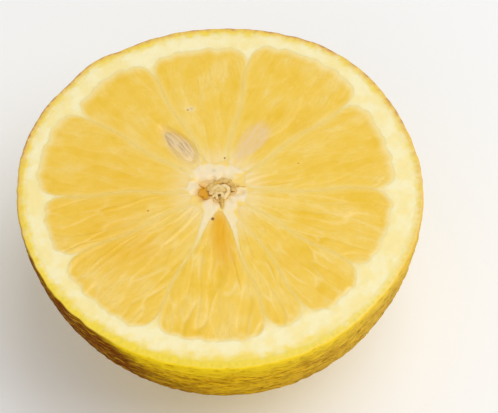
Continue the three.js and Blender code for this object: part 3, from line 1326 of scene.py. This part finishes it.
@dataclass(frozen=True)
class Seed:
    """A seed where it grew, with how much pulp still covers it."""

    node: str
    centre: Triple
    direction: Triple
    veil: float
    bared: float = 0.0
    shine: float = 0.0
    fade: float = 0.0
    length: float = 9.2
    width: float = 4.1
    thickness: float = 3.3
    taper: float = 0.3
    pinch: float = 0.12
    ridges: int = 13
    ridge_height: float = 0.02
    unevenness: float = 0.03
    planed: float = 0.7

    def axes(self) -> Matrix:
        """The seed's own directions: across, along and up."""
        along = Vector(self.direction).normalized()
        up = (Vector((0, 0, 1)) - along * along.z).normalized()
        return Matrix((along.cross(up), along, up)).transposed()

    def build(self, form: FruitForm) -> Piece:
        """Models the seed.

        Args:
            form: The fruit's form.

        Returns:
            The seed, with its streaks and its veil kept for its finish.
        """
        Piece.start()
        upright = (math.pi / 2, 0, 0)
        bpy.ops.mesh.primitive_uv_sphere_add(segments=72, ring_count=48, radius=MM, rotation=upright)
        bpy.ops.object.transform_apply(rotation=True)
        piece = Piece("lemon_" + self.node)
        ball = piece.points
        along = ball[:, 1]
        turn = np.arctan2(ball[:, 2], ball[:, 0])
        girth = 1 - self.taper * along - self.pinch * along**2
        ridge = np.cos(self.ridges * turn + 2.2 * np.sin(3 * along))
        girth += self.ridge_height * ridge * (1 - along**2)
        uneven = Ripples(31).at(ball, 1.1)
        girth *= 1 + self.unevenness * uneven
        ball[:, 2] = np.sign(ball[:, 2]) * np.abs(ball[:, 2]) ** 0.75
        local = ball * np.column_stack([
            girth * self.width / 2,
            np.full(len(ball), self.length / 2),
            girth * self.thickness / 2,
        ])
        centre = np.array(self.centre) + (0, 0, form.cut_height)
        places = local @ np.array(self.axes()).T + centre
        places[:, 2] -= self.planed * np.clip(places[:, 2] - form.cut_height, 0, None)
        piece.points = places
        side = rise(0.0, 0.45 * self.width, -local[:, 0])
        veil = self.veil + self.fade * side + 0.25 * uneven + 0.35 * np.abs(along) ** 3
        piece.mark(
            streak=rise(0.1, 0.9, ridge * 0.6 + uneven * 0.5),
            across=local[:, 0],
            along=local[:, 1],
            veil=np.clip(veil, 0, 1),
        )
        return piece

    def nearness(self, places: np.ndarray) -> tuple[np.ndarray, np.ndarray]:
        """How far places on the cut face are from the seed's middle, 1 being its outline.

        Args:
            places: Points on the cut face.

        Returns:
            The distance of each, and how far to the side it is.
        """
        along = Vector(self.direction[:2]).normalized()
        offset = places[:, :2] - np.array(self.centre[:2])
        lengthwise = offset @ np.array(along) / (self.length / 2)
        crosswise = offset @ np.array((along.y, -along.x)) / (self.width / 2)
        girth = np.clip(1 - self.taper * lengthwise, 0.4, 1.6)
        return np.hypot(lengthwise, crosswise / girth), crosswise


@dataclass
class Pulp:
    """The juicy flesh: one piece for each segment, ridged by its juice sacs."""

    plan: PulpPlan
    seeds: Sequence[Seed]
    columns: int = 88
    rows: int = 170
    sac_width: float = 2.0
    sac_length: float = 8.0
    sac_growth: Span = (3, 24)
    sac_narrowing: Span = (0.42, 1.0)
    sac_scatter: Span = (0.34, 0.45)
    sac_fullness: Span = (-0.5, 1.0)
    sac_rounding: float = 0.55
    sac_lift: float = 0.04
    lift_edge: float = 0.25
    grain: float = 0.018
    bulge: float = 0.12
    line: float = 0.15
    seed: int = 5
    overlap: float = 0.04
    front_fade: Span = (-14, 8)
    relief_to_front: Span = (0.35, 1.0)
    walls_to_front: Span = (0.3, 1.0)
    beside_to_front: Span = (0.8, 0.5)
    beside_width: Span = (1.2, 0.8)
    rim_width: Span = (1.7, 1.0)
    relief_fade: Span = (0, 0.9)
    relief_limits: Span = (-0.7, 0.24)
    seed_opening: Span = (0.78, 1.12)
    seed_side: Span = (-0.8, 0.1)
    seed_glow: Span = (0.6, 1.2)
    whiteness: float = 0.75
    whiter: float = 0.95
    whiter_tips: tuple[int, ...] = (0, 1)
    tip_length: float = 4.5
    rim_paleness: float = 0.8
    halo: Spot = Spot(-5.0, 15.7, 0.8, 0.8 / 1.4, 0.8)
    orange_spots: tuple[Spot, ...] = (
        Spot(-0.2, -5.4, 1.4, 2.2, 0.5),
        Spot(-0.1, -8.5, 1.6, 3.6, 0.9),
        Spot(0.9, -12.5, 1.8, 3.2, 0.5),
        Spot(-12, -11, 2.5, 2.0, 0.2),
        Spot(11, -13, 2.2, 2.0, 0.2),
        Spot(12, 13, 2.5, 2.0, 0.12),
        Spot(-17, -3, 9, 14, 0.2),
        Spot(-15, -11, 6, 5, 0.16),
    )
    specks: tuple[Spot, ...] = (
        Spot(-1.3, -5.4, 0.28, 0.28),
        Spot(0.6, 6.1, 0.16, 0.16),
        Spot(-11.5, -3.9, 0.12, 0.12),
        Spot(12.4, 5.1, 0.12, 0.12),
        Spot(-5.4, 15.5, 0.14, 0.14),
    )
    speck_edge: Span = (0.6, 1.3)

    def build(self, index: int) -> Piece:
        """Models one segment.

        Args:
            index: Number of the segment.

        Returns:
            The segment, with what its finish reads.
        """
        plan = self.plan
        piece = plan.block(f"lemon_segment_{index + 1:02d}", self.columns, self.rows, len(plan.dips) - 1)
        side, out, level = plan.coordinates(piece)
        dip = np.radians(np.array(plan.dips))[level]
        places, across, along = plan.wedge(index, side, out, dip, self.overlap)
        walls, tone, height = self.sacs(index, across, along)
        on_top = level == 0
        border = self.to_border(index, side, out, along)
        front = fall(*self.front_fade, places[:, 1])
        height *= between(self.relief_to_front, front) * rise(*self.relief_fade, border)
        walls *= between(self.walls_to_front, front)
        cover = np.zeros(len(places))
        for seed in self.seeds:
            near, sideways = seed.nearness(places)
            height -= seed.bared * fall(*self.seed_opening, near) * rise(*self.seed_side, sideways)
            cover = np.maximum(cover, seed.shine * fall(*self.seed_glow, near))
        places[on_top, 2] += np.clip(height[on_top], *self.relief_limits)
        piece.points = places
        piece.face_out()
        orange = sum(spot.at(places) for spot in self.orange_spots)
        specks = [fall(*self.speck_edge, speck.away(places)) for speck in self.specks]
        to_rim = (1 - out) * (plan.reaches[index] - plan.tips[index])
        beside = between(self.beside_to_front, front)
        beside = beside * fall(0.0, between(self.beside_width, front), border)
        whiteness = self.whiter if index in self.whiter_tips else self.whiteness
        tip = whiteness * fall(0, self.tip_length, along - plan.tips[index])
        piece.mark(
            tone=tone,
            wall=np.maximum(walls, beside) * on_top,
            rim=self.rim_paleness * fall(0.0, between(self.rim_width, front), to_rim),
            orange=np.clip(orange, 0, 1),
            tip=np.maximum(tip, self.halo.at(places)),
            seed=cover,
            speck=np.max(specks, axis=0) * on_top,
            across=across,
            along=along,
        )
        return piece

    def to_border(self, index: int, side: np.ndarray, out: np.ndarray, along: np.ndarray) -> np.ndarray:
        """Rough distance to the nearest wall or to the rim.

        Args:
            index: Number of the segment.
            side: From -1 to 1 across.
            out: From 0 to 1 outwards.
            along: Distance from the axis.

        Returns:
            The distance of each point.
        """
        plan = self.plan
        to_wall = (1 - np.abs(side)) * 0.5 * plan.width(index) * along
        return np.minimum(to_wall, (1 - out) * plan.reaches[index])

    def sacs(self, index: int, across: np.ndarray, along: np.ndarray) -> tuple[np.ndarray, ...]:
        """Lays long juice sacs over a segment.

        Args:
            index: Number of the segment.
            across: Distances from the segment's middle line.
            along: Distances from the axis.

        Returns:
            How near each point is to a sac's wall, the sac's tone, and the height of the relief.
        """
        draw = np.random.default_rng(self.seed + index)
        local = self.sac_width * between(self.sac_narrowing, rise(*self.sac_growth, along))
        flat = np.column_stack([across, along, np.zeros(len(along))])
        sway = Ripples(self.seed + 40 + index)
        x = across / local + 0.26 * sway.at(flat, (4.0, 11.0, 1.0))
        y = along / self.sac_length + 0.08 * sway.at(flat[:, [1, 0, 2]], (7.0, 2.4, 1.0))
        rows = np.arange(-1, 32 / self.sac_length + 2)
        columns = np.arange(-9, 10)
        grid_y, grid_x = (part.ravel() for part in np.meshgrid(rows, columns, indexing="ij"))
        apart_x, apart_y = self.sac_scatter
        centre_x = grid_x + 0.5 * (grid_y % 2) + draw.uniform(-apart_x, apart_x, grid_x.size)
        centre_y = grid_y + draw.uniform(-apart_y, apart_y, grid_x.size)
        centres = np.column_stack([centre_x, centre_y, np.zeros(len(centre_x))])
        points = np.column_stack([x, y, np.zeros(len(x))])
        numbers, distances = nearest(centres, points, 2)
        first, second = numbers.T
        near, far = distances.T
        apart = np.hypot(*(centres[first] - centres[second])[:, :2].T)
        edge = (far**2 - near**2) / (2 * apart) * local
        full = draw.uniform(*self.sac_fullness, grid_x.size)[first]
        lift = draw.uniform(-self.sac_lift, self.sac_lift, grid_x.size)[first]
        tone = draw.uniform(0, 1, grid_x.size)[first]
        rounded = 1 - (1 - np.clip(edge / self.sac_rounding, 0, 1)) ** 2
        height = self.bulge * full * rounded + lift * np.clip(edge / self.lift_edge, 0, 1)
        height += self.grain * sway.at(flat, (1.1, 3.0, 1.0))
        walls = bell(edge, self.line) * rise(-0.5, 0.6, sway.at(flat, (5.0, 6.0, 1.0)))
        return walls, tone, height


@dataclass
class Pith:
    """The white tissue: a bowl inside the rind, thin walls between segments, and the core."""

    form: FruitForm
    plan: PulpPlan
    rind_thickness: float
    overlap: float = 0.02
    flare: float = 0.45
    around: int = 360
    core_radius: float = 5.2
    hollow_centre: Span = (-0.65, 0.1)
    hollow_size: Triple = (2.75, 2.05, 0.8)
    hollow_waves: float = 0.12
    speck: Spot = Spot(-1.14, 3.7, 0.3, 0.3, 0.6)
    stain: Spot = Spot(-2.65, -0.4, 1.0, 1.3, 1.6)
    lip_depth: float = 0.35
    lip_reach: Span = (0.95, 1.5)
    white_patches: tuple[Spot, ...] = (
        Spot(-1.3, 3.1, 3.7, 1.8),
        Spot(2.2, 4.0, 1.3, 1.0),
        Spot(-3.9, 4.3, 1.0, 0.9),
        Spot(-4.4, 0.5, 1.2, 1.4),
        Spot(2.9, -0.9, 1.4, 1.4),
        Spot(-1.6, -2.8, 1.3, 1.5),
        Spot(1.5, -2.6, 1.0, 1.6),
    )
    patch_edge: Span = (0.65, 1.2)
    patch_waves: float = 0.12
    lip_waves: float = 0.1
    unevenness: float = 0.025
    joint_depth: float = 0.05
    core_rise: float = 0.03
    wall_depths: Span = (5.2, 8.5)
    legs: Span = (248.0, 286.0)
    leg_half: float = 10.0
    leg_whiteness: float = 0.6
    leg_start: Span = (2.5, 4)
    leg_end: Span = (6, 13)
    seed: int = 21

    def build(self) -> Piece:
        """Models the pith with its pockets and the hollow of its core."""
        lining = self.form.radius - self.rind_thickness + self.overlap
        rim = lining + self.flare
        top = [(float(radius), 0.0) for radius in np.arange(rim - 0.35, 0.2, -0.35)]
        dips = np.radians(np.arange(3, 89, 3))
        bottom = [(lining * math.cos(dip), -lining * math.sin(dip)) for dip in dips]
        piece = turned_piece("lemon_pith", self.around, (rim, 0.0), top, bottom)
        piece.points = self.form.grow(self.form.dome(piece.points))
        self.cut(piece)
        self.relieve(piece)
        return piece

    def cut(self, piece: Piece) -> None:
        """Cuts the segments' pockets and the core's hollow out of the bowl.

        Args:
            piece: The solid bowl.
        """
        cutters = [self.plan.pocket(index) for index in range(self.plan.count)] + [self.hollow()]
        group = bpy.data.collections.new("pockets")
        bpy.context.scene.collection.children.link(group)
        for cutter in cutters:
            group.objects.link(cutter.obj)
        Piece.start()
        piece.apply(
            "BOOLEAN", operation="DIFFERENCE", operand_type="COLLECTION", collection=group, solver="MANIFOLD"
        )
        for cutter in cutters:
            bpy.data.objects.remove(cutter.obj)
        bpy.data.collections.remove(group)

    def hollow(self) -> Piece:
        """The room in the core: a ragged star, deepest in its middle."""
        Piece.start()
        bpy.ops.mesh.primitive_uv_sphere_add(segments=96, ring_count=48, radius=MM)
        piece = Piece("core_hollow")
        ball = piece.points
        ragged = self.raggedness(polar(ball)[1])
        size_x, size_y, size_z = self.hollow_size
        ball *= np.column_stack([ragged * size_x, ragged * size_y, np.full(len(ball), size_z)])
        ball[:, :2] += self.hollow_waves * Ripples(self.seed).at(ball, 1.6)[:, None]
        piece.points = ball + (*self.hollow_centre, self.form.cut_height)
        return piece

    @staticmethod
    def raggedness(turn: np.ndarray) -> np.ndarray:
        """How far the hollow's outline reaches at an angle, 1 being usual."""
        return 1 + 0.14 * np.cos(5 * turn + 0.6) + 0.07 * np.cos(9 * turn + 2) + 0.05 * np.cos(14 * turn)

    def relieve(self, piece: Piece) -> None:
        """Gives the cut face its slight unevenness, and keeps what the finish reads.

        Args:
            piece: The cut bowl.
        """
        places = piece.points
        radius = polar(places)[0]
        depth = self.form.below(places)
        under = self.form.under_skin(places)
        uneven = Ripples(self.seed + 1).at(places, 1.7)
        leg = np.min([np.abs(turn_from(places, angle)) for angle in self.legs], axis=0) < self.leg_half
        core = self.leg_whiteness * leg * rise(*self.leg_start, radius) * fall(*self.leg_end, radius)
        for patch in self.white_patches:
            core = np.maximum(core, fall(*self.patch_edge, patch.away(places) + self.patch_waves * uneven))
        joint = fall(self.rind_thickness - self.flare, self.rind_thickness + 0.2, under)
        away, turn = polar((places[:, :2] - self.hollow_centre) / self.hollow_size[:2])
        lip = fall(*self.lip_reach, away / self.raggedness(turn) + self.lip_waves * uneven)
        lift = self.unevenness * uneven * (1 - joint) - self.joint_depth * joint
        lift += self.core_rise * core - self.lip_depth * lip
        places[:, 2] += np.where(depth < TOUCH, lift, 0)
        piece.points = places
        piece.mark(
            under=under,
            band=self.form.zest_width(places),
            pale=self.form.pale_side.at(places),
            lip=lip,
            wall=rise(*self.wall_depths, under) * (1 - core),
            core=core,
            # depth drives the painted shade in the core's hollow
            depth=depth * (radius < self.core_radius),
            speck=self.speck.at(places),
            stain=np.clip(self.stain.at(places), 0, 1),
        )


@dataclass(frozen=True)
class Strand:
    """A thread in the core: the points that it runs through and its thickness."""

    points: tuple[Triple, ...]
    thickness: float
    dry: float = 0.0


@dataclass
class Strands:
    """The dried threads that stand in the hollow of the core."""

    form: FruitForm
    unevenness: float = 0.05
    strands: tuple[Strand, ...] = (
        Strand(((-2.0, 0.2, -0.7), (-1.8, 0.8, -0.45), (-0.8, 1.5, -0.35), (0.4, 1.8, -0.3),
                (1.4, 1.8, -0.35), (1.9, 1.0, -0.4), (1.9, 0.0, -0.6)), 0.8, 0.75),
        Strand(((-1.6, -0.6, -0.7), (-1.3, 0.3, -0.4), (-0.6, 0.8, -0.33), (0.0, 0.5, -0.33),
                (-0.2, -0.2, -0.5)), 0.9, 0.3),
        Strand(((0.0, 1.0, -0.5), (0.6, 0.85, -0.3), (1.1, 0.2, -0.28), (0.9, -0.7, -0.3),
                (0.4, -1.5, -0.5)), 0.8),
        Strand(((-1.0, -1.0, -0.6), (-0.6, -0.5, -0.3), (0.1, -0.5, -0.2), (0.3, -1.2, -0.4)), 0.55, 0.1),
        Strand(((-1.1, -0.2, -0.6), (-0.5, 0.1, -0.3), (0.2, 0.2, -0.32), (0.75, -0.1, -0.4)), 0.75, 0.4),
        Strand(((0.1, -1.0, -0.5), (0.1, -1.9, -0.15), (0.2, -2.8, -0.1), (0.2, -3.6, -0.3)), 0.56, 0.8),
        Strand(((1.7, 0.5, -0.3), (2.6, 0.7, -0.02), (3.4, 0.65, 0.0), (4.2, 0.6, -0.2)), 0.26, 0.9),
        Strand(((-2.4, -1.4, -0.8), (-1.5, -1.2, -0.35), (-0.9, -0.9, -0.2), (-0.6, -1.5, -0.5)), 0.44),
    )

    def build(self) -> Piece:
        """Models the threads as one piece."""
        Piece.start()
        for number, strand in enumerate(self.strands):
            bpy.ops.curve.primitive_bezier_curve_add()
            curve = bpy.context.object
            curve.name = f"thread_{number}"
            line = curve.data.splines[0].bezier_points
            line.add(len(strand.points) - 2)
            for point, place in zip(line, strand.points):
                point.co = (Vector(place) + Vector((0, 0, self.form.cut_height))) * MM
                point.handle_left_type = point.handle_right_type = "AUTO"
            curve.data.dimensions = "3D"
            curve.data.bevel_depth = strand.thickness / 2 * MM
            curve.data.bevel_resolution = 3
            curve.data.resolution_u = 10
            curve.data.use_fill_caps = True
            bpy.ops.object.convert(target="MESH")
            thread = Piece(curve.name)
            thread.mark(dry=np.full(len(thread.mesh.vertices), strand.dry))
        for number in range(len(self.strands)):
            bpy.data.objects[f"thread_{number}"].select_set(True)
        bpy.ops.object.join()
        piece = Piece("lemon_core_threads")
        places = piece.points
        piece.points = places + piece.normals * self.unevenness * Ripples(61).at(places, 0.9)[:, None]
        piece.face_out()
        return piece


@dataclass
class Calyx:
    """The dried button in the dimple at the stem end, with five lobes and the stem's scar."""

    lobes: int = 5
    around: int = 120
    lobe_depth: float = 0.45
    crease_depth: float = 0.05
    scar_radius: float = 0.75
    scar_depth: float = 0.12
    ring_depth: float = 0.05

    def build(self) -> Piece:
        """Models the calyx in the room that its node takes."""
        low, high = (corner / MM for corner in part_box("calyx"))
        radius = min(high.x, high.y, -low.x, -low.y)
        middle = (low.z + high.z) / 2
        half = (high.z - low.z) / 2
        steps = np.linspace(0.94, 0.08, 14)
        top = [(radius * step, middle + half * (0.75 + 0.25 * step)) for step in steps]
        under = [(radius * step, middle - half * (0.62 + 0.38 * (1 - step) ** 2)) for step in steps]
        piece = turned_piece("lemon_calyx", self.around, (radius, middle), top, under)
        places = piece.points
        away, turn = polar(places)
        notch = (1 - np.cos(self.lobes * turn)) / 2 * rise(0.8, radius, away)
        places[:, :2] *= 1 - self.lobe_depth / radius * notch[:, None]
        below = places[:, 2] < middle
        creases = self.crease_depth * np.cos(3 * self.lobes * turn) * rise(0.4, 1.6, away)
        scar = fall(self.scar_radius - 0.15, self.scar_radius + 0.1, away)
        ring = bell(away - self.scar_radius, 0.14)
        relief = creases + self.scar_depth * scar - self.ring_depth * ring + self.crease_depth
        places[:, 2] += np.where(below, relief, 0)
        places[:, 2] = np.clip(places[:, 2], low.z, high.z)
        piece.points = places
        piece.mark(scar=scar * below)
        return piece


@dataclass(frozen=True)
class Lamp:
    """A square soft light that points at the origin, with its place and size in metres."""

    name: str
    place: Triple
    size: float
    power: float


@dataclass
class Studio:
    """The camera at the photo's viewing angle, a pale floor, and soft light."""

    form: FruitForm
    picture: tuple[int, int] = (498, 413)
    face_pixel: Span = (221.0, 190.0)
    elevation: float = 56.9
    distance: float = 340.0
    focal_pixels: float = 2141.7
    sensor: float = 36.0
    floor_size: float = 3000.0
    floor_color: Color = (0.93, 0.93, 0.93)
    lamps: tuple[Lamp, ...] = (
        Lamp("key", (0.34, 0.0, 0.80), 0.8, 4.7),
        Lamp("fill", (-0.20, -0.60, 0.50), 0.6, 0.7),
        Lamp("front", (0.45, -0.6, 0.2), 0.5, 0.5),
    )
    sky: float = 0.47

    def build(self) -> None:
        """Sets up everything round the object."""
        self.camera()
        self.floor()
        self.lights()
        bpy.context.scene.view_settings.view_transform = "Standard"

    def camera(self) -> None:
        """Places the camera so that the middle of the cut face falls on its pixel of the photo."""
        rise = math.radians(self.elevation)
        target = Vector((0, 0, self.form.cut_height)) * MM
        away = Vector((0, -math.cos(rise), math.sin(rise)))
        width, height = self.picture
        right = (self.face_pixel[0] - width / 2) / self.focal_pixels
        down = (self.face_pixel[1] - height / 2) / self.focal_pixels
        aim = Matrix.Rotation(math.atan(right), 3, "Y") @ Matrix.Rotation(math.atan(down), 3, "X")
        facing = away.to_track_quat("Z", "Y").to_matrix()
        data = bpy.data.cameras.new("camera")
        data.sensor_width = self.sensor
        data.lens = self.focal_pixels * self.sensor / width
        data.clip_start = 0.01
        camera = bpy.data.objects.new("camera", data)
        camera.matrix_world = Matrix.Translation(target + away * self.distance * MM) @ (facing @ aim).to_4x4()
        bpy.context.scene.collection.objects.link(camera)
        bpy.context.scene.camera = camera

    def floor(self) -> None:
        """Lays the pale floor."""
        Piece.start()
        bpy.ops.mesh.primitive_plane_add(size=self.floor_size * MM)
        floor = bpy.context.object
        floor.name = "floor"
        graph = Graph("floor")
        floor.data.materials.append(graph.surface({"Base Color": self.floor_color, "Roughness": 0.9}))

    def lights(self) -> None:
        """Hangs a large soft light above and to the right, a fill at the front left, a low light at the front
        right, and a pale sky.
        """
        for lamp in self.lamps:
            data = bpy.data.lights.new(lamp.name, "AREA")
            data.size = lamp.size
            data.energy = lamp.power
            light = bpy.data.objects.new(lamp.name, data)
            light.location = lamp.place
            light.rotation_euler = Vector(lamp.place).to_track_quat("Z", "Y").to_euler()
            bpy.context.scene.collection.objects.link(light)
        world = bpy.data.worlds.new("studio")
        world.use_nodes = True
        sky = world.node_tree.nodes["Background"]
        sky.inputs["Color"].default_value = (1.0, 1.0, 1.0, 1.0)
        sky.inputs["Strength"].default_value = self.sky
        bpy.context.scene.world = world


def main() -> None:
    """Builds the lemon's pieces in order, and the studio round them."""
    form = FruitForm()
    plan = PulpPlan(form)
    seeds = (
        Seed("seed_left", (-7.2, 8.9, -1.42), (-5.6, 7.2, 0), veil=0.05, bared=0.42, shine=0.4, fade=0.7),
        Seed("seed_right", (4.9, 9.3, -1.75), (-4.6, -6.4, 0), veil=0.5, shine=0.7),
        Seed("seed_tip", (-3.5, 15.1, -4.15), (-1.5, 0.7, 4.2), veil=0.1),
    )
    rind = Rind(form)
    rind.build().hand_over(Slot.RIND, RindFinish().material(), "rind")
    Pith(form, plan, rind.thickness).build().hand_over(Slot.PITH, PithFinish().material(), "pith")
    juicy = PulpFinish().material()
    pulp = Pulp(plan, seeds)
    for index in range(plan.count):
        pulp.build(index).hand_over(Slot.PULP, juicy, f"segment_{index + 1:02d}")
    coat = SeedFinish().material()
    for seed in seeds:
        seed.build(form).hand_over(Slot.SEED, coat, seed.node)
    Strands(form).build().hand_over(Slot.PITH, StrandFinish().material())
    Calyx().build().hand_over(Slot.CALYX, CalyxFinish().material(), "calyx")
    Studio(form).build()


if __name__ == "__main__":
    logging.basicConfig(level=logging.INFO, format="%(name)s: %(message)s")
    main()
